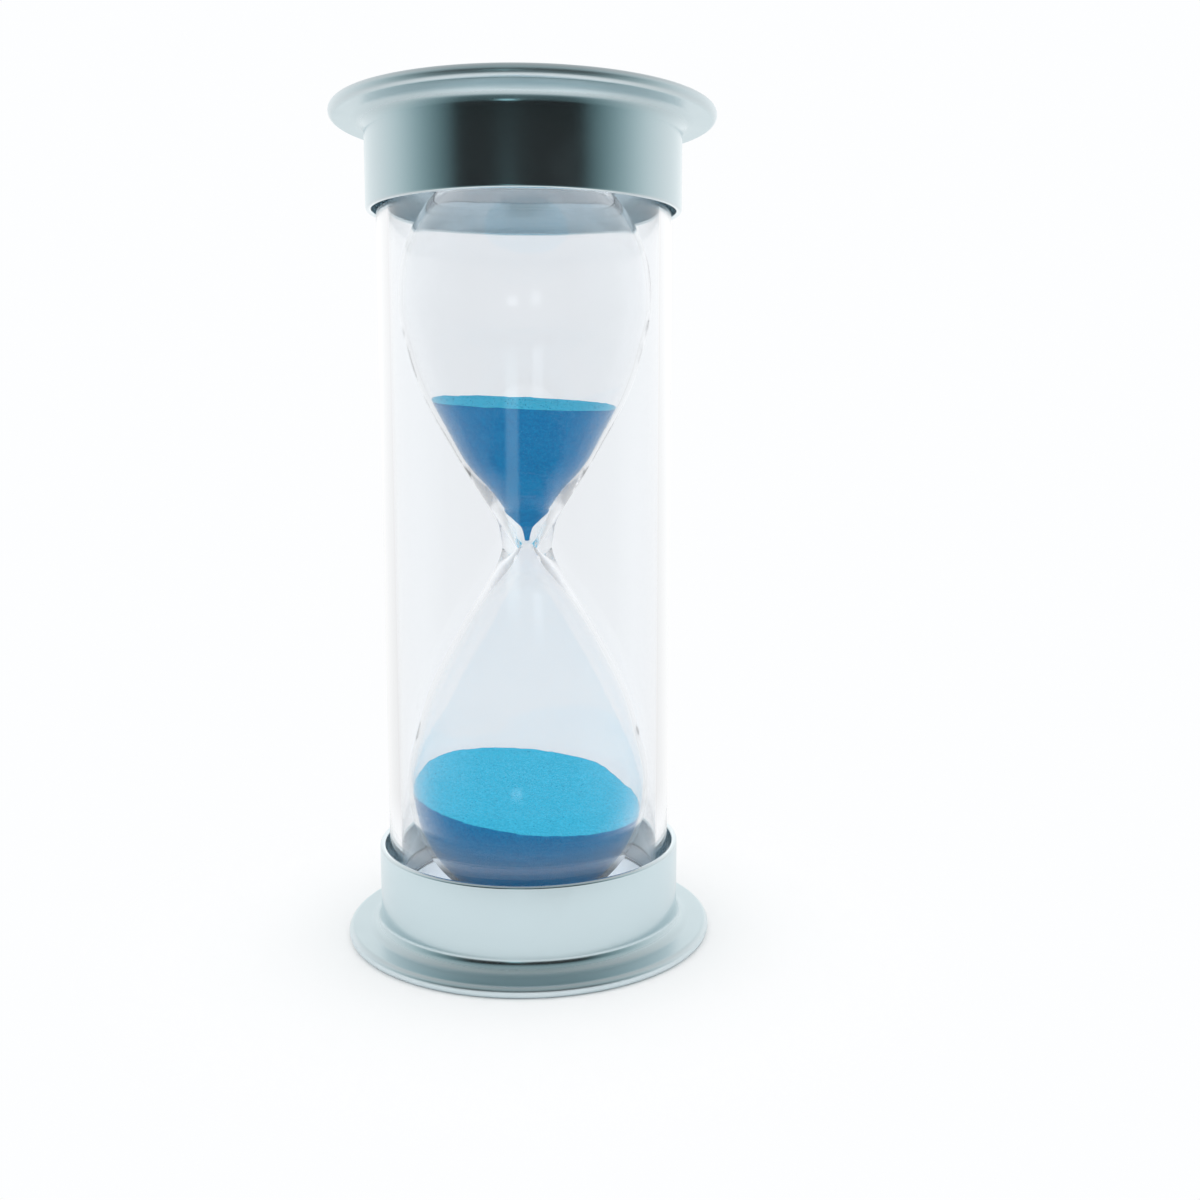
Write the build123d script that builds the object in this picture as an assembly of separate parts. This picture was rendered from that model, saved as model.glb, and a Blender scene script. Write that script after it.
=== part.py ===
"""Round sand timer: a blown glass bulb with blue sand, held between foam pads inside a clear
acrylic tube that is closed by two identical turned aluminium caps.

Millimetres, +Z up. The origin is the centre of the base cap's outer face, on the timer's axis.
"""
import os
from math import cos, pi, sin

from build123d import *

# ---- Driving dimensions ----
overall_height = 143.0
neck_height = 70.5

# Caps
flange_radius = 32.5
flange_thickness = 2.1
cap_floor = 1.6
collar_radius = 26.75
collar_wall = 1.0
collar_height = 16.7        # from the cap's outer face to the rim
rim_round = 0.42
root_fillet = 2.3

# Foam pads: two die-cut layers of one sheet in each cap
foam_sheet = 3.0
foam_radius = 25.6
foam_hole_radius = 14.6

# Clear tube, 50 mm outside
tube_radius = 25.0
tube_wall = 2.0

# Glue ring between the tube and the collar
glue_height = 3.0
glue_clearance = 0.02

# Glass bulb, blown by hand, so its two chambers differ a little. A funnel is points of radius
# and distance from the neck, and runs into the belly, which an elliptical dome closes.
throat_radius = 4.1
bore_radius = 0.9
glass_wall = 0.8
upper_outer_funnel = [(4.9, 3.0), (7.6, 7.6), (9.6, 10.7), (13.7, 17.7),
                      (16.8, 23.2), (19.7, 30.7), (21.3, 36.9)]
upper_inner_funnel = [(3.0, 4.2), (5.9, 7.8), (8.9, 11.2), (12.95, 18.1),
                      (16.0, 23.6), (18.9, 31.0), (20.5, 37.0)]
upper_belly = (21.7, 42.0)
upper_dome = 23.4
lower_outer_funnel = [(5.6, 4.6), (7.7, 8.4), (10.3, 12.4), (14.3, 19.5),
                      (17.0, 24.7), (18.9, 30.0), (20.3, 35.3)]
lower_inner_funnel = [(3.6, 4.9), (6.7, 8.9), (9.5, 12.9), (13.5, 19.9),
                      (16.2, 25.1), (18.1, 30.2), (19.5, 35.5)]
lower_belly = (21.5, 43.5)
dome_steps = 6              # stretches of the curve that follows a dome's ellipse

# Filling stub at the top of the bulb, with its plug and the resin over the plug
stub_radius = 4.2
stub_bore = 3.2
plug_clearance = 0.05
plug_length = 3.2
seal_thickness = 0.7

# Sand: each surface is a plane through the axis at its height, and slopes by x and y
sand_gap = 0.05
upper_sand_height = 94.55
upper_sand_slope = (-0.047, 0.069)
upper_dimple_radius = 5.0
upper_dimple_depth = 1.4
lower_sand_height = 25.7
lower_sand_slope = (-0.128, 0.091)
heap_radius = 15.0
heap_height = 1.2

# ---- Heights that follow ----
pad_top = cap_floor + foam_sheet
ring_top = pad_top + foam_sheet
tube_length = overall_height - 2 * ring_top
lower_dome = neck_height - lower_belly[1] - pad_top
stub_top = overall_height - pad_top
dome_crown = neck_height + upper_belly[1] + upper_dome


def turned(profile):
    """Solid made by turning a profile, drawn as radius and height, about the timer's axis."""
    return revolve(Plane.XZ * profile, Axis.Z)


def ring(inner_radius, outer_radius, bottom, height):
    """Flat ring, or a disc where the inner radius is zero."""
    return turned(Pos((inner_radius + outer_radius) / 2, bottom + height / 2)
                  * Rectangle(outer_radius - inner_radius, height))


def rounded(face, radius, *corners):
    """Face with the corners nearest to the given points rounded."""
    picked = [min(face.vertices(), key=lambda v: (v.X - r) ** 2 + (v.Y - z) ** 2) for r, z in corners]
    return fillet(picked, radius)


def at_the_top(solid):
    """The same piece turned over, as it sits at the other end of the timer."""
    return Pos(0, 0, overall_height) * mirror(solid, Plane.XY)


def cap():
    """Turned cup with a wide flange: bull-nosed edge, filleted root and rounded rim."""
    bore = collar_radius - collar_wall
    face = make_face(Polyline(
        (0, 0), (flange_radius, 0), (flange_radius, flange_thickness), (collar_radius, flange_thickness),
        (collar_radius, collar_height), (bore, collar_height), (bore, cap_floor), (0, cap_floor), close=True))
    face = rounded(face, flange_thickness * 0.48, (flange_radius, 0), (flange_radius, flange_thickness))
    face = rounded(face, root_fillet, (collar_radius, flange_thickness))
    face = rounded(face, rim_round, (collar_radius, collar_height), (bore, collar_height))
    return turned(face)


def chamber(neck, funnel, belly, dome, inset=0.0):
    """Solid chamber that stands on the neck at the origin: funnel, belly and an elliptical dome.
    An inset draws the whole surface in, past the neck too."""
    radius, height = belly[0] - inset, belly[1]
    dome = dome - inset
    on_dome = [(radius * cos(angle), height + dome * sin(angle))
               for angle in (pi / 2 * step / dome_steps for step in range(dome_steps + 1))]
    drawn_in = [(funnel_radius - inset, distance) for funnel_radius, distance in funnel]
    wall = Spline((neck - inset, 0), *drawn_in, (radius, height), tangents=[(0, 1), (0, 1)])
    crown = Spline(*on_dome, tangents=[(0, 1), (-1, 0)])
    core = Polyline((0, height + dome), (0, 0), (neck - inset, 0))
    return turned(make_face([*wall.edges(), *crown.edges(), *core.edges()]))


def hourglass(upper, lower):
    """The two chambers as one solid, in its place in the timer."""
    return Pos(0, 0, neck_height) * (upper + mirror(lower, Plane.XY))


def glass_outside():
    body = hourglass(chamber(throat_radius, upper_outer_funnel, upper_belly, upper_dome),
                     chamber(throat_radius, lower_outer_funnel, lower_belly, lower_dome))
    stub_foot = dome_crown - 2 * glass_wall
    return body + ring(0, stub_radius, stub_foot, stub_top - stub_foot)


def inner_belly(belly):
    return belly[0] - glass_wall, belly[1]


def upper_hollow(gap=0.0):
    return chamber(bore_radius, upper_inner_funnel, inner_belly(upper_belly), upper_dome - glass_wall, gap)


def lower_hollow(gap=0.0):
    return chamber(bore_radius, lower_inner_funnel, inner_belly(lower_belly), lower_dome - glass_wall, gap)


def sloping_plane(height, slope):
    return Plane(origin=(0, 0, height), z_dir=(-slope[0], -slope[1], 1))


def glass_bulb():
    bore_foot = dome_crown - 3 * glass_wall
    stub_hole = ring(0, stub_bore, bore_foot, stub_top - bore_foot)
    return glass_outside() - hourglass(upper_hollow(), lower_hollow()) - stub_hole


def filling_plug():
    """Soft plug pushed into the filling stub, a little below its end."""
    return ring(0, stub_bore - plug_clearance, stub_top - seal_thickness - plug_length, plug_length)


def plug_seal():
    """Resin that fills the rest of the stub."""
    return ring(0, stub_bore - plug_clearance, stub_top - seal_thickness, seal_thickness)


def upper_sand():
    """Sand that is still above the neck, with the dimple that its flow has started."""
    surface = sloping_plane(upper_sand_height, upper_sand_slope)
    hollow = Pos(0, 0, neck_height) * upper_hollow(sand_gap)
    dimple = Cone(0, upper_dimple_radius, upper_dimple_depth,
                  align=(Align.CENTER, Align.CENTER, Align.MAX))
    return split(hollow, bisect_by=surface, keep=Keep.BOTTOM) - surface * dimple


def lower_sand():
    """Fallen sand, lying at a slope, with a low heap under the neck."""
    surface = sloping_plane(lower_sand_height, lower_sand_slope)
    hollow = Pos(0, 0, neck_height) * mirror(lower_hollow(sand_gap), Plane.XY)
    heap = Cone(heap_radius, heap_radius / 30, heap_height,
                align=(Align.CENTER, Align.CENTER, Align.MIN))
    return split(hollow, bisect_by=surface, keep=Keep.BOTTOM) + surface * heap


def glue_bead():
    return ring(tube_radius + glue_clearance, collar_radius - collar_wall - glue_clearance,
                ring_top, glue_height)


pieces = {
    "glass_bulb": glass_bulb(),
    "filling_plug": filling_plug(),
    "plug_seal": plug_seal(),
    "upper_sand": upper_sand(),
    "lower_sand": lower_sand(),
    "outer_tube": ring(tube_radius - tube_wall, tube_radius, ring_top, tube_length),
}
end_pieces = {
    "cap": cap(),
    "foam_disc": ring(0, foam_radius, cap_floor, foam_sheet),
    "foam_ring": ring(foam_hole_radius, foam_radius, pad_top, foam_sheet),
    "glue_bead": glue_bead(),
}
for name, solid in end_pieces.items():
    pieces["base_" + name] = solid
    pieces["top_" + name] = at_the_top(solid)

os.makedirs("parts", exist_ok=True)
for name, solid in pieces.items():
    export_step(solid, f"parts/{name}.step")
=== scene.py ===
from math import cos, pi, radians, sin
from random import Random

import bpy
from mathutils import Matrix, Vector
from mathutils.bvhtree import BVHTree


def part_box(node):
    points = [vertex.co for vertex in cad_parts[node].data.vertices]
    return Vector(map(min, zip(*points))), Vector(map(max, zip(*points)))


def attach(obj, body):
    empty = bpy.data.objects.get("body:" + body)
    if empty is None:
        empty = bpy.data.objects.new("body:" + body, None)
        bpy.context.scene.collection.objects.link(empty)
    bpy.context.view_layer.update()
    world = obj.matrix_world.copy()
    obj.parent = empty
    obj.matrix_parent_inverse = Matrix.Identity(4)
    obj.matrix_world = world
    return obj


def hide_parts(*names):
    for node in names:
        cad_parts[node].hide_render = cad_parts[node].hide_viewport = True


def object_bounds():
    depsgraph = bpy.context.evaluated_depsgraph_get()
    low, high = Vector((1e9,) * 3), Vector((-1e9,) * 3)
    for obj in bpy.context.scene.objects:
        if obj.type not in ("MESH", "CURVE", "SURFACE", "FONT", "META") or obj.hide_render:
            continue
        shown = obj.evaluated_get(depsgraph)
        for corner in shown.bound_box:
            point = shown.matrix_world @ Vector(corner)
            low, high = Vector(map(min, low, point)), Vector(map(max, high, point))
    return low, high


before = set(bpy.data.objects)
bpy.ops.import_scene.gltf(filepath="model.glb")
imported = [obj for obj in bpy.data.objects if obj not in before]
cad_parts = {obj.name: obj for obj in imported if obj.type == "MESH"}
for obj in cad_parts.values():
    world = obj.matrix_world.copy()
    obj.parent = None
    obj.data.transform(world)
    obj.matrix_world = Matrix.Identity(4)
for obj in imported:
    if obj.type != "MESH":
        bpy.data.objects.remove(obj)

cad_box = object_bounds()
bpy.ops.object.select_all(action="DESELECT")
millimetre = 0.001


# Table: a pale sheet that the timer stands on. Near the timer it takes a soft shadow; further out
# it glows as evenly as the wall, so no horizon shows. Only its near part is mirrored in the metal,
# and what the clear walls mirror of its front is painted a dim grey, a painted shade on that
# reflection, so that it doesn't veil the sand.
def shader(name, **sockets):
    """A new material, its node tree and its Principled shader with plain values on its sockets."""
    material = bpy.data.materials.new(name)
    material.use_nodes = True
    principled = material.node_tree.nodes["Principled BSDF"]
    for socket, value in sockets.items():
        principled.inputs[socket.replace("_", " ")].default_value = value
    return material, material.node_tree, principled


def node(tree, kind, **settings):
    """A new node. A setting is a property, or a socket by name or as _0, _1, with a value or a link."""
    made = tree.nodes.new(kind)
    for name, value in settings.items():
        if hasattr(made, name):
            setattr(made, name, value)
            continue
        socket = made.inputs[int(name[1:])] if name[1:].isdigit() else made.inputs[name.replace("_", " ")]
        if isinstance(value, bpy.types.NodeSocket):
            tree.links.new(value, socket)
        else:
            socket.default_value = value
    return made


wall_white = (0.985, 0.992, 1.0, 1.0)
table_height = cad_box[0][2]
table_radius = 6.0
shadow_radius = 34 * millimetre
glow_radius = 78 * millimetre
fade_radius = 64 * millimetre
gone_radius = 108 * millimetre
front_start, front_full = 10 * millimetre, -30 * millimetre
glass_dim = 0.12


def unbounced(tree):
    """One for a ray that comes straight from the eye or only through glass, and else zero."""
    ray = node(tree, "ShaderNodeLightPath")
    bounced = node(tree, "ShaderNodeMath", operation="ADD", _0=ray.outputs["Diffuse Depth"],
                   _1=ray.outputs["Glossy Depth"])
    return node(tree, "ShaderNodeMath", operation="LESS_THAN", _0=bounced.outputs[0], _1=0.5).outputs[0]


def caught_in_glass(tree, faces=4):
    """One for a ray that has been thrown back and has crossed so many clear faces, and else zero."""
    ray = node(tree, "ShaderNodeLightPath")
    thrown = node(tree, "ShaderNodeMath", operation="GREATER_THAN", _0=ray.outputs["Glossy Depth"], _1=0.5)
    within = node(tree, "ShaderNodeMath", operation="GREATER_THAN", _0=ray.outputs["Transmission Depth"],
                  _1=faces - 0.5)
    both = node(tree, "ShaderNodeMath", operation="MULTIPLY", _0=thrown.outputs[0], _1=within.outputs[0])
    return both.outputs[0]


sheet_paint, tree, principled = shader("sheet_paint", Roughness=0.8, Base_Color=(0.84, 0.84, 0.84, 1.0),
                                       Specular_IOR_Level=0.1)
place = node(tree, "ShaderNodeTexCoord")
reach = node(tree, "ShaderNodeVectorMath", operation="LENGTH", _0=place.outputs["Object"])
tooth = node(tree, "ShaderNodeTexNoise", Vector=place.outputs["Object"], Scale=900.0, Detail=3.0)
relief = node(tree, "ShaderNodeBump", Strength=0.15, Distance=0.02 * millimetre, Height=tooth.outputs["Fac"])
tree.links.new(relief.outputs["Normal"], principled.inputs["Normal"])
glow = node(tree, "ShaderNodeEmission", Color=wall_white)
share = node(tree, "ShaderNodeMapRange", interpolation_type="SMOOTHSTEP", Value=reach.outputs["Value"],
             From_Min=shadow_radius, From_Max=glow_radius)
paint = node(tree, "ShaderNodeMixShader", Fac=share.outputs["Result"], _1=principled.outputs[0],
             _2=glow.outputs[0])
# Painted shade: for rays thrown back through the clear walls, the table's front is painted a dim grey.
painted_dark_reflection = node(tree, "ShaderNodeEmission", Color=(glass_dim, glass_dim, glass_dim, 1.0))
depth = node(tree, "ShaderNodeSeparateXYZ", Vector=place.outputs["Object"])
before = node(tree, "ShaderNodeMapRange", Value=depth.outputs["Y"], From_Min=front_start,
              From_Max=front_full)
dim = node(tree, "ShaderNodeMath", operation="MULTIPLY", _0=caught_in_glass(tree), _1=before.outputs[0])
paint = node(tree, "ShaderNodeMixShader", Fac=dim.outputs[0], _1=paint.outputs[0], _2=painted_dark_reflection.outputs[0])
outer = node(tree, "ShaderNodeMapRange", interpolation_type="SMOOTHSTEP", Value=reach.outputs["Value"],
             From_Min=fade_radius, From_Max=gone_radius)
bounced = node(tree, "ShaderNodeMath", operation="SUBTRACT", _0=1.0, _1=unbounced(tree))
gone = node(tree, "ShaderNodeMath", operation="MULTIPLY", _0=outer.outputs["Result"], _1=bounced.outputs[0])
clear = node(tree, "ShaderNodeBsdfTransparent")
paint = node(tree, "ShaderNodeMixShader", Fac=gone.outputs[0], _1=paint.outputs[0], _2=clear.outputs[0])
tree.links.new(paint.outputs[0], tree.nodes["Material Output"].inputs["Surface"])

bpy.ops.mesh.primitive_circle_add(vertices=128, radius=table_radius, fill_type="NGON",
                                  location=(0, 0, table_height))
table = bpy.context.object
table.name = "table"
table.data.materials.append(sheet_paint)

# Studio: a white wall behind, and around it a pale room that the metal mirrors. In front the room is
# dark, but for one small lamp that gives the clear walls a glint, and the pale table is below. Dull
# surfaces get even daylight, and light that has wandered deep in the glass comes out pale.
daylight = 1.3
deep_light = 0.60
deep_faces = 6
fade_tint = (0.50, 0.93, 1.0, 1.0)
side_steps = [(0, 1.0), (40, 1.0), (50, 0.87), (65, 0.66), (80, 0.44), (92, 0.27), (104, 0.14), (125, 0.0)]
height_steps = [(-90, 0.0), (-50, 0.0), (-35, 0.8), (-4, 0.9), (4, 1.0), (18, 1.0), (26, 0.70), (40, 0.45),
                (65, 0.25), (90, 0.0)]
low_start, low_full = 0.2, -0.1
ahead_start, ahead_full = 0.3, -0.1
open_steps = [(-90, 0.74), (-30, 0.76), (-5, 0.84), (15, 0.88), (35, 0.75), (60, 0.50), (90, 0.40)]
lamp_turn = radians(-8)
lamp_lift = radians(-3)
lamp_width = radians(7)
lamp_length = radians(7)
lamp_level = 1.0


def ramp(tree, value, steps, low, high):
    """The brightness for an angle in radians, from steps in degrees between low and high."""
    scaled = node(tree, "ShaderNodeMapRange", Value=value, From_Min=radians(low), From_Max=radians(high))
    curve = node(tree, "ShaderNodeFloatCurve", Value=scaled.outputs["Result"])
    points = curve.mapping.curves[0].points
    top = max(level for _, level in steps)
    spots = [((angle - low) / (high - low), level / top) for angle, level in steps]
    points[0].location = spots[0]
    points[1].location = spots[-1]
    for spot in spots[1:-1]:
        points.new(*spot)
    curve.mapping.update()
    return node(tree, "ShaderNodeMath", operation="MULTIPLY", _0=curve.outputs[0], _1=top).outputs[0]


room = bpy.data.worlds.new("room")
bpy.context.scene.world = room
room.use_nodes = True
tree = room.node_tree
way = node(tree, "ShaderNodeTexCoord")
parts = node(tree, "ShaderNodeSeparateXYZ", Vector=way.outputs["Generated"])
forward = node(tree, "ShaderNodeMath", operation="MULTIPLY", _0=parts.outputs["Y"], _1=-1.0)
sideways = node(tree, "ShaderNodeMath", operation="ABSOLUTE", _0=parts.outputs["X"])
turn = node(tree, "ShaderNodeMath", operation="ARCTAN2", _0=sideways.outputs[0], _1=forward.outputs[0])
lift = node(tree, "ShaderNodeMath", operation="ARCSINE", _0=parts.outputs["Z"])
dark_turn = ramp(tree, turn.outputs[0], side_steps, 0, 180)
dark_lift = ramp(tree, lift.outputs[0], height_steps, -90, 90)
open_level = ramp(tree, lift.outputs[0], open_steps, -90, 90)
dark = node(tree, "ShaderNodeMath", operation="MULTIPLY", _0=dark_turn, _1=dark_lift)
ray = node(tree, "ShaderNodeLightPath")
level = node(tree, "ShaderNodeMath", operation="SUBTRACT", _0=1.0, _1=dark.outputs[0])
around = node(tree, "ShaderNodeMath", operation="MULTIPLY", _0=open_level, _1=level.outputs[0])
deep = node(tree, "ShaderNodeMath", operation="GREATER_THAN", _0=ray.outputs["Transmission Depth"],
            _1=deep_faces - 0.5)
deep_level = node(tree, "ShaderNodeMath", operation="MULTIPLY", _0=deep.outputs[0], _1=deep_light)
low_down = node(tree, "ShaderNodeMapRange", Value=parts.outputs["Z"], From_Min=low_full,
                From_Max=low_start, To_Min=1 - glass_dim, To_Max=0.0)
before = node(tree, "ShaderNodeMapRange", Value=parts.outputs["Y"], From_Min=ahead_start,
              From_Max=ahead_full)
front_low = node(tree, "ShaderNodeMath", operation="MULTIPLY", _0=before.outputs["Result"],
                 _1=low_down.outputs["Result"])
held_back = node(tree, "ShaderNodeMath", operation="MULTIPLY", _0=caught_in_glass(tree),
                 _1=front_low.outputs[0])
let_through = node(tree, "ShaderNodeMath", operation="SUBTRACT", _0=1.0, _1=held_back.outputs[0])
around = node(tree, "ShaderNodeMath", operation="MULTIPLY", _0=around.outputs[0], _1=let_through.outputs[0])
around = node(tree, "ShaderNodeMath", operation="MAXIMUM", _0=around.outputs[0], _1=deep_level.outputs[0])
across = node(tree, "ShaderNodeMath", operation="ARCTAN2", _0=parts.outputs["X"], _1=forward.outputs[0])
lamp = []
for angle, middle, reach in ((across, lamp_turn, lamp_width), (lift, lamp_lift, lamp_length)):
    off = node(tree, "ShaderNodeMath", operation="SUBTRACT", _0=angle.outputs[0], _1=middle)
    off = node(tree, "ShaderNodeMath", operation="ABSOLUTE", _0=off.outputs[0])
    lamp.append(node(tree, "ShaderNodeMapRange", interpolation_type="SMOOTHSTEP", Value=off.outputs[0],
                     From_Min=reach, From_Max=0.4 * reach).outputs["Result"])
lit = node(tree, "ShaderNodeMath", operation="MULTIPLY", _0=lamp[0], _1=lamp[1])
around = node(tree, "ShaderNodeMath", operation="MULTIPLY_ADD", _0=lit.outputs[0], _1=lamp_level,
              _2=around.outputs[0])
gathered = node(tree, "ShaderNodeMath", operation="GREATER_THAN", _0=ray.outputs["Diffuse Depth"], _1=0.5)
around = node(tree, "ShaderNodeMix", Factor=gathered.outputs[0], A=around.outputs[0], B=daylight)
sight = node(tree, "ShaderNodeMix", data_type="RGBA", _0=unbounced(tree))
through = node(tree, "ShaderNodeMath", operation="GREATER_THAN", _0=ray.outputs["Transmission Depth"], _1=0.5)
plain = node(tree, "ShaderNodeMath", operation="MAXIMUM", _0=gathered.outputs[0], _1=through.outputs[0])
seen = node(tree, "ShaderNodeMath", operation="SUBTRACT", _0=1.0, _1=plain.outputs[0])
faded = node(tree, "ShaderNodeMath", operation="MULTIPLY", _0=dark.outputs[0], _1=seen.outputs[0])
fade = node(tree, "ShaderNodeMix", data_type="RGBA", _0=faded.outputs[0])
fade.inputs[6].default_value = (1.0, 1.0, 1.0, 1.0)
fade.inputs[7].default_value = fade_tint
tinted = node(tree, "ShaderNodeVectorMath", operation="SCALE", _0=fade.outputs[2], Scale=around.outputs[0])
tree.links.new(tinted.outputs[0], sight.inputs[6])
sight.inputs[7].default_value = wall_white
background = tree.nodes["Background"]
tree.links.new(sight.outputs[2], background.inputs["Color"])

# Camera: close to the timer and a little above its middle, tipped down. Light may cross many clear
# walls before it is dropped, so that the neck doesn't go black.
camera_data = bpy.data.cameras.new("camera")
camera = bpy.data.objects.new("camera", camera_data)
bpy.context.scene.collection.objects.link(camera)
bpy.context.scene.camera = camera
camera_data.sensor_width = 36.0
camera_data.lens = 39.5
camera_data.clip_start = 0.01
camera_data.clip_end = 20.0
camera.location = (0.01286, -0.2314, 0.0922)
camera.rotation_euler = (pi / 2 - 0.1387, 0, 0)

view = bpy.context.scene.view_settings
view.view_transform = "Standard"
view.look = "None"
cycles = bpy.context.scene.cycles
cycles.max_bounces = 36
cycles.transmission_bounces = 24
cycles.transparent_max_bounces = 24
cycles.glossy_bounces = 24
cycles.use_denoising = True


# Caps: two cups turned from aluminium, bead blasted to an even satin. Under the satin the fine
# rings of the lathe tool still show, the flange is a little duller, and handling has brightened
# the rims. Each cup takes a pair of foam pads and the end of the tube.
def group(name, inputs, outputs):
    """A new shader node group, with number sockets in and named kinds out, and its two end nodes."""
    made = bpy.data.node_groups.new(name, "ShaderNodeTree")
    for socket, value in inputs.items():
        made.interface.new_socket(socket, in_out="INPUT", socket_type="NodeSocketFloat").default_value = value
    for socket, kind in outputs.items():
        made.interface.new_socket(socket, in_out="OUTPUT", socket_type=f"NodeSocket{kind}")
    return made, made.nodes.new("NodeGroupInput"), made.nodes.new("NodeGroupOutput")


timer_place, given, result = group("timer_place", {"Middle": 0.0},
                                   {"Radius": "Float", "Above": "Float", "Away": "Float"})
place = node(timer_place, "ShaderNodeTexCoord")
flat = node(timer_place, "ShaderNodeVectorMath", operation="MULTIPLY", _0=place.outputs["Object"],
            _1=(1.0, 1.0, 0.0))
from_axis = node(timer_place, "ShaderNodeVectorMath", operation="LENGTH", _0=flat.outputs[0])
parts = node(timer_place, "ShaderNodeSeparateXYZ", Vector=place.outputs["Object"])
above = node(timer_place, "ShaderNodeMath", operation="SUBTRACT", _0=parts.outputs["Z"],
             _1=given.outputs["Middle"])
away = node(timer_place, "ShaderNodeMath", operation="ABSOLUTE", _0=above.outputs[0])
timer_place.links.new(from_axis.outputs["Value"], result.inputs["Radius"])
timer_place.links.new(above.outputs[0], result.inputs["Above"])
timer_place.links.new(away.outputs[0], result.inputs["Away"])


def turned(name, outline, steps):
    """A shell made by spinning an outline, given as radius and height, about the timer's axis."""
    (radius, height), rest = outline[0], outline[1:]
    bpy.ops.mesh.primitive_plane_add(size=millimetre, location=(radius, 0, height))
    piece = bpy.context.object
    piece.name = name
    bpy.ops.object.mode_set(mode="EDIT")
    bpy.ops.mesh.select_all(action="SELECT")
    bpy.ops.mesh.merge(type="CENTER")
    for next_radius, next_height in rest:
        bpy.ops.mesh.extrude_vertices_move(
            TRANSFORM_OT_translate={"value": (next_radius - radius, 0, next_height - height)})
        radius, height = next_radius, next_height
    bpy.ops.mesh.select_all(action="SELECT")
    bpy.ops.mesh.spin(steps=steps, angle=2 * pi, center=(0, 0, 0), axis=(0, 0, 1))
    bpy.ops.mesh.select_all(action="SELECT")
    bpy.ops.mesh.remove_doubles(threshold=millimetre / 500)
    bpy.ops.mesh.normals_make_consistent(inside=False)
    bpy.ops.object.mode_set(mode="OBJECT")
    bpy.ops.object.transform_apply(location=True, rotation=True, scale=True)
    bpy.ops.object.shade_smooth_by_angle(angle=radians(35))
    flat_walls = piece.modifiers.new("flat_walls", "WEIGHTED_NORMAL")
    flat_walls.keep_sharp = True
    bpy.ops.object.modifier_apply(modifier="flat_walls")
    return piece


def corner(radius, height, size, start, quarter=pi / 2, steps=4):
    """Rounded corner of an outline about a centre: a quarter turn from the start angle."""
    angles = [start + quarter * step / steps for step in range(steps + 1)]
    return [(radius + size * cos(angle), height + size * sin(angle)) for angle in angles]


top_height = cad_box[1][2]
middle_height = top_height / 2
flange_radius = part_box("base_cap")[1][0]
collar_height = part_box("base_cap")[1][2]
flange_thickness = 2.1 * millimetre
flange_round = 0.48 * flange_thickness
cap_floor = 1.6 * millimetre
collar_radius = 26.75 * millimetre
collar_bore = collar_radius - 1.0 * millimetre
root_fillet = 2.3 * millimetre
rim_round = 0.42 * millimetre
floor_round = 0.3 * millimetre
face_steps = 8
rim_worn, rim_kept = 0.10 * millimetre, 0.55 * millimetre
edge_worn, edge_kept = 0.2 * millimetre, 0.8 * millimetre
faced_start, faced_full = 26.8 * millimetre, 28.0 * millimetre
faced_rough = 0.14
smudge_rough = 0.03
wear_smooth = 0.05
satin_metal = (0.64, 0.755, 0.79, 1.0)
bright_metal = (0.80, 0.87, 0.90, 1.0)

satin, tree, principled = shader("satin_aluminium", Metallic=1.0)
place = node(tree, "ShaderNodeTexCoord")
spot = node(tree, "ShaderNodeGroup", node_tree=timer_place, Middle=middle_height)
tool_path = node(tree, "ShaderNodeMath", operation="ADD", _0=spot.outputs["Radius"], _1=spot.outputs["Away"])
rings = node(tree, "ShaderNodeTexNoise", noise_dimensions="1D", W=tool_path.outputs[0], Scale=7500.0,
             Detail=2.0)
blast = node(tree, "ShaderNodeTexNoise", Vector=place.outputs["Object"], Scale=5200.0, Detail=2.0)
surface = node(tree, "ShaderNodeMix", Factor=0.55, A=rings.outputs["Fac"], B=blast.outputs["Fac"])
relief = node(tree, "ShaderNodeBump", Strength=0.15, Distance=0.003 * millimetre, Height=surface.outputs[0])
tree.links.new(relief.outputs["Normal"], principled.inputs["Normal"])

rim_edge = node(tree, "ShaderNodeMapRange", Value=spot.outputs["Away"],
                From_Min=middle_height - collar_height + rim_worn,
                From_Max=middle_height - collar_height + rim_kept, To_Min=1.0, To_Max=0.0)
flange_edge = node(tree, "ShaderNodeMapRange", Value=spot.outputs["Radius"],
                   From_Min=flange_radius - edge_kept, From_Max=flange_radius - edge_worn)
edges = node(tree, "ShaderNodeMath", operation="MAXIMUM", _0=rim_edge.outputs[0], _1=flange_edge.outputs[0])
patches = node(tree, "ShaderNodeTexNoise", Vector=place.outputs["Object"], Scale=60.0, Detail=1.0)
worn = node(tree, "ShaderNodeMapRange", Value=patches.outputs["Fac"], From_Min=0.3, From_Max=0.7,
            To_Min=0.45, To_Max=0.75)
wear = node(tree, "ShaderNodeMath", operation="MULTIPLY", _0=edges.outputs[0], _1=worn.outputs["Result"])
colour = node(tree, "ShaderNodeMix", data_type="RGBA", _0=wear.outputs[0])
colour.inputs[6].default_value = satin_metal
colour.inputs[7].default_value = bright_metal
tree.links.new(colour.outputs[2], principled.inputs["Base Color"])
handled = node(tree, "ShaderNodeTexNoise", Vector=place.outputs["Object"], Scale=75.0, Detail=4.0,
               Roughness=0.6, Distortion=0.8)
smudges = node(tree, "ShaderNodeMapRange", interpolation_type="SMOOTHSTEP", Value=handled.outputs["Fac"],
               From_Min=0.48, From_Max=0.75)
base_rough = node(tree, "ShaderNodeMapRange", Value=surface.outputs[0], From_Min=0.3, From_Max=0.7,
                  To_Min=0.19, To_Max=0.22)
smudged = node(tree, "ShaderNodeMath", operation="MULTIPLY_ADD", _0=smudges.outputs["Result"],
               _1=smudge_rough, _2=base_rough.outputs["Result"])
polished = node(tree, "ShaderNodeMath", operation="MULTIPLY_ADD", _0=wear.outputs[0], _1=-wear_smooth,
                _2=smudged.outputs[0])
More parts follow.
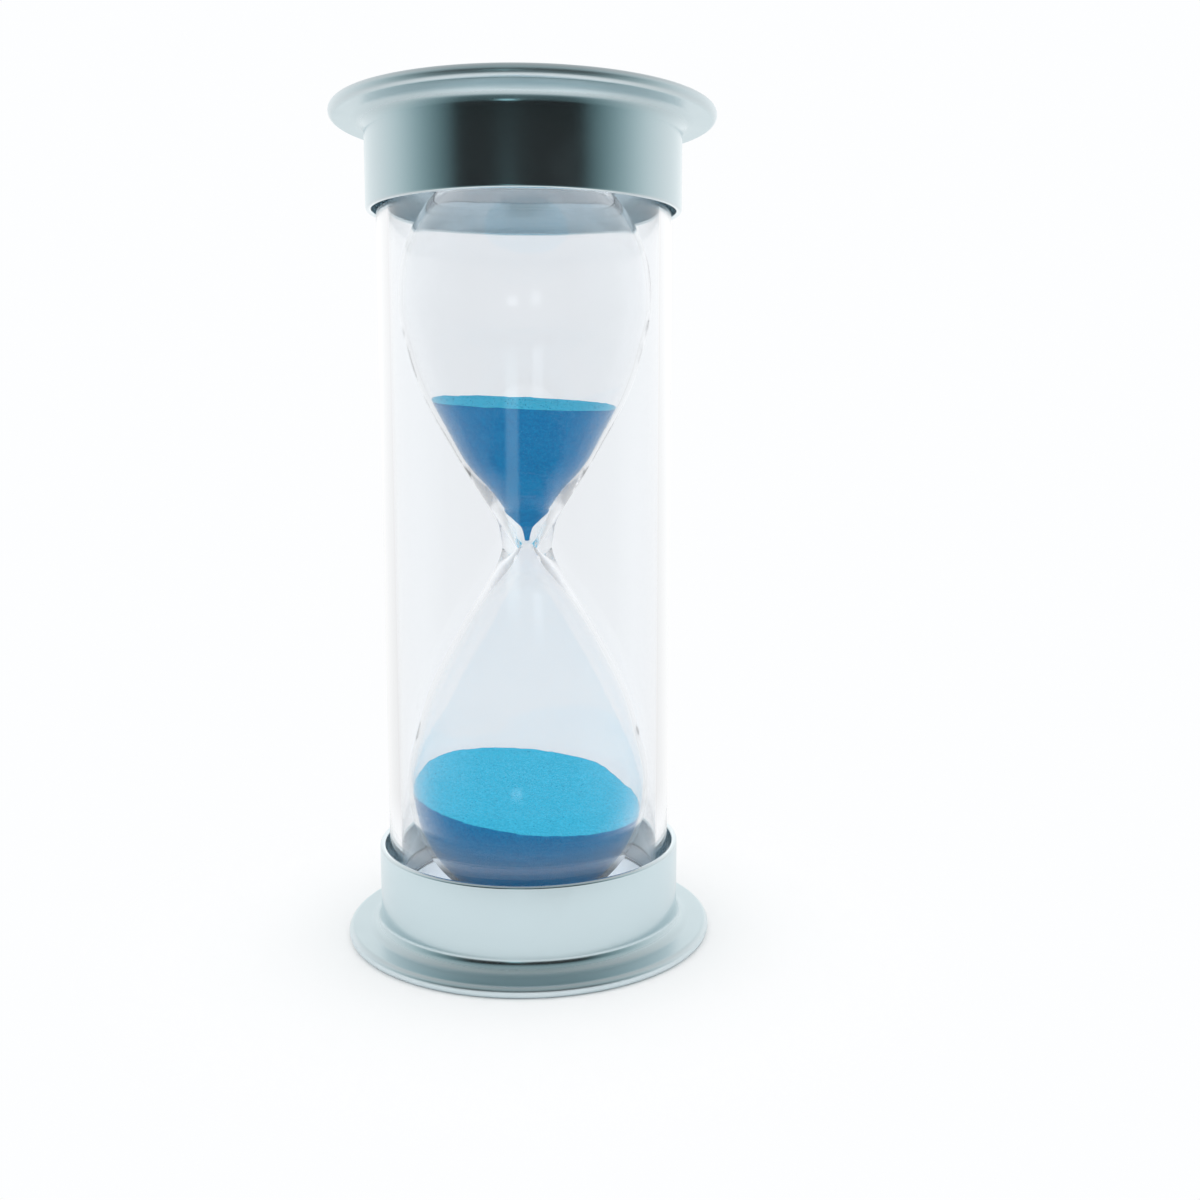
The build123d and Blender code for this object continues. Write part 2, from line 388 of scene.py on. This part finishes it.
faced = node(tree, "ShaderNodeMapRange", Value=spot.outputs["Radius"], From_Min=faced_start,
             From_Max=faced_full, To_Max=faced_rough)
finish = node(tree, "ShaderNodeMath", operation="ADD", _0=polished.outputs[0], _1=faced.outputs["Result"])
tree.links.new(finish.outputs[0], principled.inputs["Roughness"])

cap_outline = (
    [((flange_radius - flange_round) * step / face_steps, 0) for step in range(face_steps)]
    + corner(flange_radius - flange_round, flange_round, flange_round, -pi / 2, steps=8)
    + corner(flange_radius - flange_round, flange_thickness - flange_round, flange_round, 0, steps=8)
    + corner(collar_radius + root_fillet, flange_thickness + root_fillet, root_fillet, -pi / 2, -pi / 2, 12)
    + corner(collar_radius - rim_round, collar_height - rim_round, rim_round, 0, steps=8)
    + corner(collar_bore + rim_round, collar_height - rim_round, rim_round, pi / 2, steps=8)
    + corner(collar_bore - floor_round, cap_floor + floor_round, floor_round, 0, -pi / 2)
    + [((collar_bore - floor_round) * step / face_steps, cap_floor) for step in reversed(range(face_steps))])
for name, outline in (("base_cap", cap_outline),
                      ("top_cap", [(radius, top_height - height) for radius, height in cap_outline])):
    cap = turned(f"{name}_turned", outline, 192)
    cap.data.materials.append(satin)
    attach(cap, "root")
    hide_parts(name)


# Foam pads: white closed-cell foam, die cut in two layers for each cap, a disc and a ring whose
# hole takes the end of the bulb. The cutter draws the sides in, and rounds the edge it enters by.
def roughen(piece, name, size, strength, group_name="", direction="NORMAL"):
    """Moves a piece's surface by soft clouds of the given size, and applies it."""
    texture = bpy.data.textures.new(name, "CLOUDS")
    texture.noise_scale = size
    change = piece.modifiers.new(name, "DISPLACE")
    change.texture = texture
    change.texture_coords = "LOCAL"
    change.direction = direction
    change.strength = strength
    change.mid_level = 0.5
    change.vertex_group = group_name
    bpy.ops.object.select_all(action="DESELECT")
    piece.select_set(True)
    bpy.context.view_layer.objects.active = piece
    bpy.ops.object.modifier_apply(modifier=name)


foam_slack = 0.05 * millimetre
foam_waist = 0.18 * millimetre
foam_edge = 0.30 * millimetre
hole_radius = 14.6 * millimetre
disc_steps = 6
dimmed_radius, clear_radius = 18 * millimetre, 23 * millimetre
mirror_dim = 0.8


def foam_outline(inner, outer, bottom, top, waist, edge):
    """Outline of a foam layer, closed. The outer side is drawn in at its waist, and so is a hole's."""
    middle = (bottom + top) / 2
    side = [(outer - edge, bottom), (outer, bottom + edge), (outer - waist, middle)]
    outline = side + corner(outer - edge, top - edge, edge, 0)
    if inner > 0:
        outline += corner(inner + edge, top - edge, edge, pi / 2)
        return outline + [(inner + waist, middle), (inner, bottom + edge), (inner + edge, bottom), side[0]]
    top_face = [(outer * (1 - step / disc_steps), top) for step in range(1, disc_steps + 1)]
    bottom_face = [(outer * step / disc_steps, bottom) for step in range(disc_steps)]
    return outline + top_face + bottom_face + [side[0]]


foam, tree, principled = shader("white_foam", Specular_IOR_Level=0.25)
place = node(tree, "ShaderNodeTexCoord")
cells = node(tree, "ShaderNodeTexVoronoi", Vector=place.outputs["Object"], Scale=2100.0)
clumps = node(tree, "ShaderNodeTexNoise", Vector=place.outputs["Object"], Scale=320.0, Detail=4.0)
pores = node(tree, "ShaderNodeMapRange", Value=cells.outputs["Distance"], From_Min=0.05, From_Max=0.6)
tone = node(tree, "ShaderNodeMath", operation="MULTIPLY_ADD", _0=clumps.outputs["Fac"], _1=0.5,
            _2=pores.outputs["Result"])
shade = node(tree, "ShaderNodeMix", data_type="RGBA", _0=tone.outputs[0])
shade.inputs[6].default_value = (0.93, 0.95, 0.97, 1.0)
shade.inputs[7].default_value = (0.96, 0.97, 0.985, 1.0)
rough = node(tree, "ShaderNodeMapRange", Value=clumps.outputs["Fac"], To_Min=0.75, To_Max=0.95)
tree.links.new(rough.outputs["Result"], principled.inputs["Roughness"])
relief = node(tree, "ShaderNodeBump", Strength=0.35, Distance=0.04 * millimetre, Height=tone.outputs[0])
tree.links.new(relief.outputs["Normal"], principled.inputs["Normal"])

# What the clear walls mirror of the lower pads, under the bulb, is painted dark: their colour turns towards
# black for those rays, a painted shade on the reflection.
spot = node(tree, "ShaderNodeGroup", node_tree=timer_place, Middle=middle_height)
under_bulb = node(tree, "ShaderNodeMapRange", Value=spot.outputs["Radius"], From_Min=clear_radius,
                  From_Max=dimmed_radius)
at_base = node(tree, "ShaderNodeMath", operation="LESS_THAN", _0=spot.outputs["Above"], _1=0.0)
below = node(tree, "ShaderNodeMath", operation="MULTIPLY", _0=under_bulb.outputs["Result"],
             _1=at_base.outputs[0])
thrown = node(tree, "ShaderNodeMath", operation="MULTIPLY", _0=caught_in_glass(tree, 2), _1=below.outputs[0])
painted_reflection_shade = node(tree, "ShaderNodeMath", operation="MULTIPLY", _0=thrown.outputs[0], _1=mirror_dim)
colour = node(tree, "ShaderNodeMix", data_type="RGBA", _0=painted_reflection_shade.outputs[0], _6=shade.outputs[2])
colour.inputs[7].default_value = (0.0, 0.0, 0.0, 1.0)
tree.links.new(colour.outputs[2], principled.inputs["Base Color"])

for end in ("base", "top"):
    for layer, inner in (("foam_disc", 0.0), ("foam_ring", hole_radius)):
        low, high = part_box(f"{end}_{layer}")
        pad = turned(f"{end}_{layer}_pad",
                     foam_outline(inner, high[0] - foam_slack, low[2] + foam_slack, high[2] - foam_slack,
                                  foam_waist, foam_edge), 144)
        roughen(pad, f"{end}_{layer}_unevenness", 5 * millimetre, 0.09 * millimetre)
        pad.data.materials.append(foam)
        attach(pad, "root")
        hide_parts(f"{end}_{layer}")


# Tube: a length of clear extruded acrylic. Its sawn ends are matt, with the sharp edge taken off,
# and the extrusion leaves faint lines along it.
def let_light_in(tree, principled):
    """Lets daylight pass straight through a clear wall to what stands behind it."""
    ray = node(tree, "ShaderNodeLightPath")
    light = node(tree, "ShaderNodeMath", operation="MAXIMUM", _0=ray.outputs["Is Shadow Ray"],
                 _1=ray.outputs["Is Diffuse Ray"])
    clear = node(tree, "ShaderNodeBsdfTransparent", Color=clear_tint)
    both = node(tree, "ShaderNodeMixShader", Fac=light.outputs[0], _1=principled.outputs[0],
                _2=clear.outputs[0])
    tree.links.new(both.outputs[0], tree.nodes["Material Output"].inputs["Surface"])


clear_tint = (0.98, 0.985, 0.99, 1.0)
tube_low, tube_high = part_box("outer_tube")
tube_radius = tube_high[0]
tube_bore = tube_radius - 2.0 * millimetre
tube_edge = 0.22 * millimetre
sawn_start, sawn_full = 0.3 * millimetre, 0.1 * millimetre
tube_outline = (corner(tube_radius - tube_edge, tube_low[2] + tube_edge, tube_edge, -pi / 2)
                + corner(tube_radius - tube_edge, tube_high[2] - tube_edge, tube_edge, 0)
                + corner(tube_bore + tube_edge, tube_high[2] - tube_edge, tube_edge, pi / 2)
                + corner(tube_bore + tube_edge, tube_low[2] + tube_edge, tube_edge, pi))
tube_outline.append(tube_outline[0])
tube = turned("clear_tube", tube_outline, 256)

acrylic, tree, principled = shader("clear_acrylic", Base_Color=(0.975, 0.987, 1.0, 1.0), IOR=1.49,
                                   Transmission_Weight=1.0)
place = node(tree, "ShaderNodeTexCoord")
spot = node(tree, "ShaderNodeGroup", node_tree=timer_place, Middle=middle_height)
sawn = node(tree, "ShaderNodeMapRange", Value=spot.outputs["Away"], To_Max=0.5,
            From_Min=tube_high[2] - middle_height - sawn_start,
            From_Max=tube_high[2] - middle_height - sawn_full)
tree.links.new(sawn.outputs["Result"], principled.inputs["Roughness"])
stretched = node(tree, "ShaderNodeMapping", Vector=place.outputs["Object"], Scale=(1.0, 1.0, 0.02))
draw_lines = node(tree, "ShaderNodeTexNoise", Vector=stretched.outputs[0], Scale=220.0, Detail=1.0)
relief = node(tree, "ShaderNodeBump", Strength=0.12, Distance=0.01 * millimetre,
              Height=draw_lines.outputs["Fac"])
tree.links.new(relief.outputs["Normal"], principled.inputs["Normal"])
let_light_in(tree, principled)
tube.data.materials.append(acrylic)
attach(tube, "root")
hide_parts("outer_tube")

# Glue beads: clear adhesive run into the gap between the tube and each collar. It creeps up both
# walls as it sets, and its top is a little uneven.
set_ripples, given, result = group("set_ripples", {"Scale": 350.0, "Smooth": 0.1, "Dull": 0.3, "Relief": 0.2},
                                   {"Roughness": "Float", "Normal": "Vector"})
place = node(set_ripples, "ShaderNodeTexCoord")
ripples = node(set_ripples, "ShaderNodeTexNoise", Vector=place.outputs["Object"],
               Scale=given.outputs["Scale"], Detail=2.0)
rough = node(set_ripples, "ShaderNodeMapRange", Value=ripples.outputs["Fac"],
             To_Min=given.outputs["Smooth"], To_Max=given.outputs["Dull"])
relief = node(set_ripples, "ShaderNodeBump", Strength=given.outputs["Relief"], Distance=0.05 * millimetre,
              Height=ripples.outputs["Fac"])
set_ripples.links.new(rough.outputs["Result"], result.inputs["Roughness"])
set_ripples.links.new(relief.outputs["Normal"], result.inputs["Normal"])

glue, tree, principled = shader("clear_glue", Base_Color=(0.80, 0.84, 0.86, 1.0), IOR=1.46,
                                Transmission_Weight=0.6)
ripples = node(tree, "ShaderNodeGroup", node_tree=set_ripples, Scale=350.0, Smooth=0.12, Dull=0.30,
               Relief=0.15)
tree.links.new(ripples.outputs["Roughness"], principled.inputs["Roughness"])
tree.links.new(ripples.outputs["Normal"], principled.inputs["Normal"])

glue_sag = 0.28 * millimetre
glue_inner = tube_radius + 0.02 * millimetre
sag_steps = 6
for end in ("base", "top"):
    low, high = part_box(f"{end}_glue_bead")
    foot, brim = (low[2], high[2]) if end == "base" else (high[2], low[2])
    towards = 1 if end == "base" else -1
    sagging = [(glue_inner + (high[0] - glue_inner) * step / sag_steps,
                brim - towards * glue_sag * (1 + sin(pi * step / sag_steps)))
               for step in range(sag_steps + 1)]
    outline = [(high[0], foot), (glue_inner, foot)] + sagging + [(high[0], foot)]
    bead = turned(f"{end}_glue_ring", outline, 192)
    creep = bead.vertex_groups.new(name="top")
    creep.add([point.index for point in bead.data.vertices
               if abs(point.co.z - foot) > (brim - foot) * towards * 0.5], 1.0, "REPLACE")
    roughen(bead, f"{end}_glue_unevenness", 6 * millimetre, 0.35 * millimetre, "top", "Z")
    bead.data.materials.append(glue)
    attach(bead, "root")
    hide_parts(f"{end}_glue_bead")

# Bulb: blown glass in one piece, thick at the neck and thin at the bellies. It was worked in a
# flame by hand, so its surface waves a little.
blown, tree, principled = shader("blown_glass", Base_Color=(0.99, 0.995, 1.0, 1.0), Roughness=0.0,
                                 IOR=1.5, Transmission_Weight=1.0)
place = node(tree, "ShaderNodeTexCoord")
drawn = node(tree, "ShaderNodeMapping", Vector=place.outputs["Object"], Scale=(1.0, 1.0, 0.35))
waves = node(tree, "ShaderNodeTexNoise", Vector=drawn.outputs[0], Scale=110.0, Detail=1.5)
relief = node(tree, "ShaderNodeBump", Strength=0.35, Distance=0.12 * millimetre, Height=waves.outputs["Fac"])
tree.links.new(relief.outputs["Normal"], principled.inputs["Normal"])
let_light_in(tree, principled)

bulb_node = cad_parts["glass_bulb"]
bulb_node.data.calc_loop_triangles()
bulb_walls = BVHTree.FromPolygons([point.co for point in bulb_node.data.vertices],
                                  [triangle.vertices for triangle in bulb_node.data.loop_triangles])
bulb_low, bulb_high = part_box("glass_bulb")
neck_height = 70.5 * millimetre
crown_height = 135.9 * millimetre
glass_wall = 0.8 * millimetre
stub_radius = 4.2 * millimetre
stub_bore = 3.2 * millimetre
stub_root = 0.4 * millimetre
stub_edge = 0.25 * millimetre
far_out = 100 * millimetre


def outside(height):
    """Radius of the bulb's outer wall at a height."""
    return far_out - bulb_walls.ray_cast(Vector((far_out, 0, height)), Vector((-1, 0, 0)))[3]


def inside(height):
    """Radius of the bulb's hollow at a height."""
    return bulb_walls.ray_cast(Vector((0, 0, height)), Vector((1, 0, 0)))[3]


def fire_polished(wall, low, high, steps=110, passes=5):
    """A wall's radius and height between two heights, closest together at the two ends, evened out."""
    heights = [low + (neck_height - low) * (1 - cos(pi / 2 * step / steps)) for step in range(1, steps)]
    heights += [neck_height + (high - neck_height) * sin(pi / 2 * step / steps) for step in range(steps)]
    radii = [wall(height) for height in heights]
    for _ in range(passes):
        radii[1:-1] = [(before + 2 * radius + after) / 4
                       for before, radius, after in zip(radii, radii[1:-1], radii[2:])]
    return list(zip(radii, heights))


outer_wall = fire_polished(outside, bulb_low[2], crown_height)
inner_wall = fire_polished(inside, bulb_low[2] + glass_wall, crown_height - glass_wall)
outer_wall = [(radius, height) for radius, height in outer_wall
              if height < neck_height or radius > stub_radius + stub_root]
above_dome = [(radius, height) for radius, height in inner_wall
              if height < neck_height or radius > stub_bore + stub_root]
stub = [(stub_radius + 0.12 * millimetre, crown_height + 0.25 * millimetre),
        (stub_radius, crown_height + 0.6 * millimetre)]
stub += corner(stub_radius - stub_edge, bulb_high[2] - stub_edge, stub_edge, 0)
stub += corner(stub_bore + stub_edge, bulb_high[2] - stub_edge, stub_edge, pi / 2)
stub += [(stub_bore, crown_height), (stub_bore + 0.1 * millimetre, crown_height - glass_wall / 2)]
bulb = turned("blown_bulb", [(0, bulb_low[2])] + outer_wall + stub + above_dome[::-1]
              + [(0, bulb_low[2] + glass_wall)], 128)
bulb.data.materials.append(blown)
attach(bulb, "root")
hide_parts("glass_bulb")

# Plug and seal: a soft rubber plug pushed into the filling stub at the top of the bulb, and the
# drop of resin that closes the stub over it.
plug_edge = 0.35 * millimetre
low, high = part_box("filling_plug")
plug_radius = high[0]
plug_outline = ([(0, low[2])] + corner(plug_radius - plug_edge, low[2] + plug_edge, plug_edge, -pi / 2)
                + corner(plug_radius - plug_edge, high[2] - plug_edge, plug_edge, 0) + [(0, high[2])])
plug = turned("rubber_plug", plug_outline, 64)
rubber, tree, principled = shader("plug_rubber", Specular_IOR_Level=0.35)
place = node(tree, "ShaderNodeTexCoord")
bloom = node(tree, "ShaderNodeTexNoise", Vector=place.outputs["Object"], Scale=900.0, Detail=4.0)
shade = node(tree, "ShaderNodeMix", data_type="RGBA", _0=bloom.outputs["Fac"])
shade.inputs[6].default_value = (0.46, 0.45, 0.43, 1.0)
shade.inputs[7].default_value = (0.62, 0.61, 0.58, 1.0)
tree.links.new(shade.outputs[2], principled.inputs["Base Color"])
rough = node(tree, "ShaderNodeMapRange", Value=bloom.outputs["Fac"], To_Min=0.5, To_Max=0.8)
tree.links.new(rough.outputs["Result"], principled.inputs["Roughness"])
plug.data.materials.append(rubber)
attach(plug, "root")
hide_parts("filling_plug")

low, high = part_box("plug_seal")
seal_sag = 0.22 * millimetre
seal_steps = 6
seal_top = [(high[0] * cos(pi / 2 * step / seal_steps), high[2] - seal_sag * sin(pi / 2 * step / seal_steps))
            for step in range(seal_steps + 1)]
seal = turned("resin_seal", [(0, low[2]), (high[0], low[2])] + seal_top, 64)
resin, tree, principled = shader("seal_resin", Base_Color=(0.88, 0.84, 0.70, 1.0), IOR=1.5,
                                 Transmission_Weight=0.5)
ripples = node(tree, "ShaderNodeGroup", node_tree=set_ripples, Scale=700.0, Smooth=0.08, Dull=0.25,
               Relief=0.3)
tree.links.new(ripples.outputs["Roughness"], principled.inputs["Roughness"])
tree.links.new(ripples.outputs["Normal"], principled.inputs["Normal"])
seal.data.materials.append(resin)
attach(seal, "root")
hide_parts("plug_seal")

# Sand: fine dyed quartz. It fills the glass from wall to wall and lies at a slope, as it was left.
# Small drifts and a scatter of loose grains break up its two surfaces.
sand_gap = 0.05 * millimetre
grain_size = 0.28 * millimetre
loose_grains = 260
throat_height = 6 * millimetre
throat_share = 0.4
upper_level, upper_slope = 94.55 * millimetre, (-0.047, 0.069)
lower_level, lower_slope = 25.7 * millimetre, (-0.128, 0.091)


def against_wall(low, top, lowest_share, steps=60):
    """Outline of sand in the hollow between two heights. It may draw in where it runs to the throat."""
    outline = [(0, low)]
    for step in range(1, steps + 1):
        height = low + (top - low) * (1 - cos(pi / 2 * step / steps))
        below = max((spot for spot in inner_wall if spot[1] <= height), key=lambda spot: spot[1])
        above = min((spot for spot in inner_wall if spot[1] > height), key=lambda spot: spot[1])
        share = (height - below[1]) / (above[1] - below[1])
        drawn_in = min(1.0, lowest_share + (1 - lowest_share) * (height - low) / throat_height)
        outline.append(((below[0] + (above[0] - below[0]) * share - sand_gap) * drawn_in, height))
    return outline + [(0, top)]


sand, tree, principled = shader("blue_sand", Specular_IOR_Level=0.06)
place = node(tree, "ShaderNodeTexCoord")
grains = node(tree, "ShaderNodeTexVoronoi", Vector=place.outputs["Object"], Scale=1 / grain_size,
              Randomness=1.0)
grain_tint = node(tree, "ShaderNodeSeparateColor", Color=grains.outputs["Color"])
geometry = node(tree, "ShaderNodeNewGeometry")
facing = node(tree, "ShaderNodeSeparateXYZ", Vector=geometry.outputs["Normal"])
# The sand's colour is split by which way it faces. Painted light makes the upward-facing top a lighter cyan,
# and painted shade makes the sides against the glass a deeper blue.
painted_light_share = node(tree, "ShaderNodeMapRange", interpolation_type="SMOOTHSTEP", Value=facing.outputs["Z"],
              From_Min=0.35, From_Max=0.80)
painted_shade_on_sides = node(tree, "ShaderNodeMix", data_type="RGBA", _0=grain_tint.outputs[0])
painted_shade_on_sides.inputs[6].default_value = (0.004, 0.138, 0.330, 1.0)
painted_shade_on_sides.inputs[7].default_value = (0.008, 0.190, 0.410, 1.0)
painted_light_on_top = node(tree, "ShaderNodeMix", data_type="RGBA", _0=grain_tint.outputs[0])
painted_light_on_top.inputs[6].default_value = (0.022, 0.39, 0.60, 1.0)
painted_light_on_top.inputs[7].default_value = (0.048, 0.51, 0.74, 1.0)
colour = node(tree, "ShaderNodeMix", data_type="RGBA", _0=painted_light_share.outputs["Result"],
              _6=painted_shade_on_sides.outputs[2], _7=painted_light_on_top.outputs[2])
tree.links.new(colour.outputs[2], principled.inputs["Base Color"])
rough = node(tree, "ShaderNodeMapRange", Value=grain_tint.outputs[1], To_Min=0.65, To_Max=0.95)
tree.links.new(rough.outputs["Result"], principled.inputs["Roughness"])
relief = node(tree, "ShaderNodeBump", invert=True, Strength=0.5, Distance=0.10 * millimetre,
              Height=grains.outputs["Distance"])
tree.links.new(relief.outputs["Normal"], principled.inputs["Normal"])
ray = node(tree, "ShaderNodeLightPath")
glint = node(tree, "ShaderNodeBsdfTransparent", Color=(0.88, 0.95, 1.0, 1.0))
both = node(tree, "ShaderNodeMixShader", Fac=ray.outputs["Is Diffuse Ray"], _1=principled.outputs[0],
            _2=glint.outputs[0])
tree.links.new(both.outputs[0], tree.nodes["Material Output"].inputs["Surface"])


def poured(name, outline, level, slope):
    """Sand in its chamber: turned to the glass, then cut by its sloping surface, which is meshed finely."""
    body = turned(name, outline, 144)
    bpy.ops.object.mode_set(mode="EDIT")
    bpy.ops.mesh.select_all(action="SELECT")
    bpy.ops.mesh.bisect(plane_co=(0, 0, level), plane_no=(-slope[0], -slope[1], 1.0),
                        use_fill=True, clear_outer=True)
    bpy.ops.object.mode_set(mode="OBJECT")
    mesh = body.data
    lid = max(mesh.polygons, key=lambda face: len(face.vertices))
    lid_points = set(lid.vertices)
    for face in mesh.polygons:
        face.select = face.index == lid.index
    for edge in mesh.edges:
        edge.select = False
    for point in mesh.vertices:
        point.select = point.index in lid_points
    bpy.ops.object.mode_set(mode="EDIT")
    bpy.ops.mesh.select_mode(type="FACE")
    rings = 56
    for step in range(rings, 1, -1):
        shrink = (step - 1) / step
        bpy.ops.mesh.extrude_region_move()
        bpy.ops.transform.resize(value=(shrink, shrink, shrink), center_override=(0, 0, level))
    bpy.ops.mesh.merge(type="CENTER")
    bpy.ops.mesh.select_mode(type="VERT")
    bpy.ops.object.mode_set(mode="OBJECT")
    return body


low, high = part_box("upper_sand")
upper = poured("sand_above", against_wall(low[2], high[2] + 0.5 * millimetre, throat_share),
               upper_level, upper_slope)
low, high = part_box("lower_sand")
lower = poured("sand_below", against_wall(low[2], high[2] + 1.5 * millimetre, 1.0),
               lower_level, lower_slope)

for body, node_name, seed in ((upper, "upper_sand", 7), (lower, "lower_sand", 11)):
    surface = body.vertex_groups.new(name="surface")
    surface.add([point.index for point in body.data.vertices if point.normal.z > 0.6], 1.0, "REPLACE")
    roughen(body, f"{node_name}_drifts", 3.5 * millimetre, 0.45 * millimetre, "surface")
    roughen(body, f"{node_name}_grains", 0.45 * millimetre, 0.16 * millimetre, "surface")
    body.data.materials.append(sand)
    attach(body, "root")
    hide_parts(node_name)

    body.data.calc_loop_triangles()
    lying = BVHTree.FromPolygons([point.co for point in body.data.vertices],
                                 [triangle.vertices for triangle in body.data.loop_triangles])
    draw = Random(seed)
    rim_radius = max(body.data.vertices, key=lambda point: point.co.z).co.to_2d().length
    spots = []
    while len(spots) < loose_grains:
        bearing = draw.uniform(0, 2 * pi)
        from_axis = (rim_radius - 3 * grain_size) * draw.random() ** 0.5
        over = Vector((from_axis * cos(bearing), from_axis * sin(bearing), top_height))
        under = lying.ray_cast(over, Vector((0, 0, -1)))[0]
        if under is not None:
            size = grain_size * draw.uniform(0.4, 0.8)
            spots.append((under, size, [draw.uniform(0, pi) for _ in range(3)]))
    bpy.ops.object.select_all(action="DESELECT")
    for number, (spot, size, turns) in enumerate(spots):
        bpy.ops.mesh.primitive_ico_sphere_add(subdivisions=1, radius=size / 2, rotation=turns,
                                              location=spot + Vector((0, 0, size / 5)))
        if number == 0:
            bpy.ops.object.mode_set(mode="EDIT")
    bpy.ops.object.mode_set(mode="OBJECT")
    loose = bpy.context.object
    loose.name = f"{node_name}_loose_grains"
    bpy.ops.object.transform_apply(location=True, rotation=True, scale=True)
    bpy.ops.object.shade_flat()
    loose.data.materials.append(sand)
    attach(loose, "root")
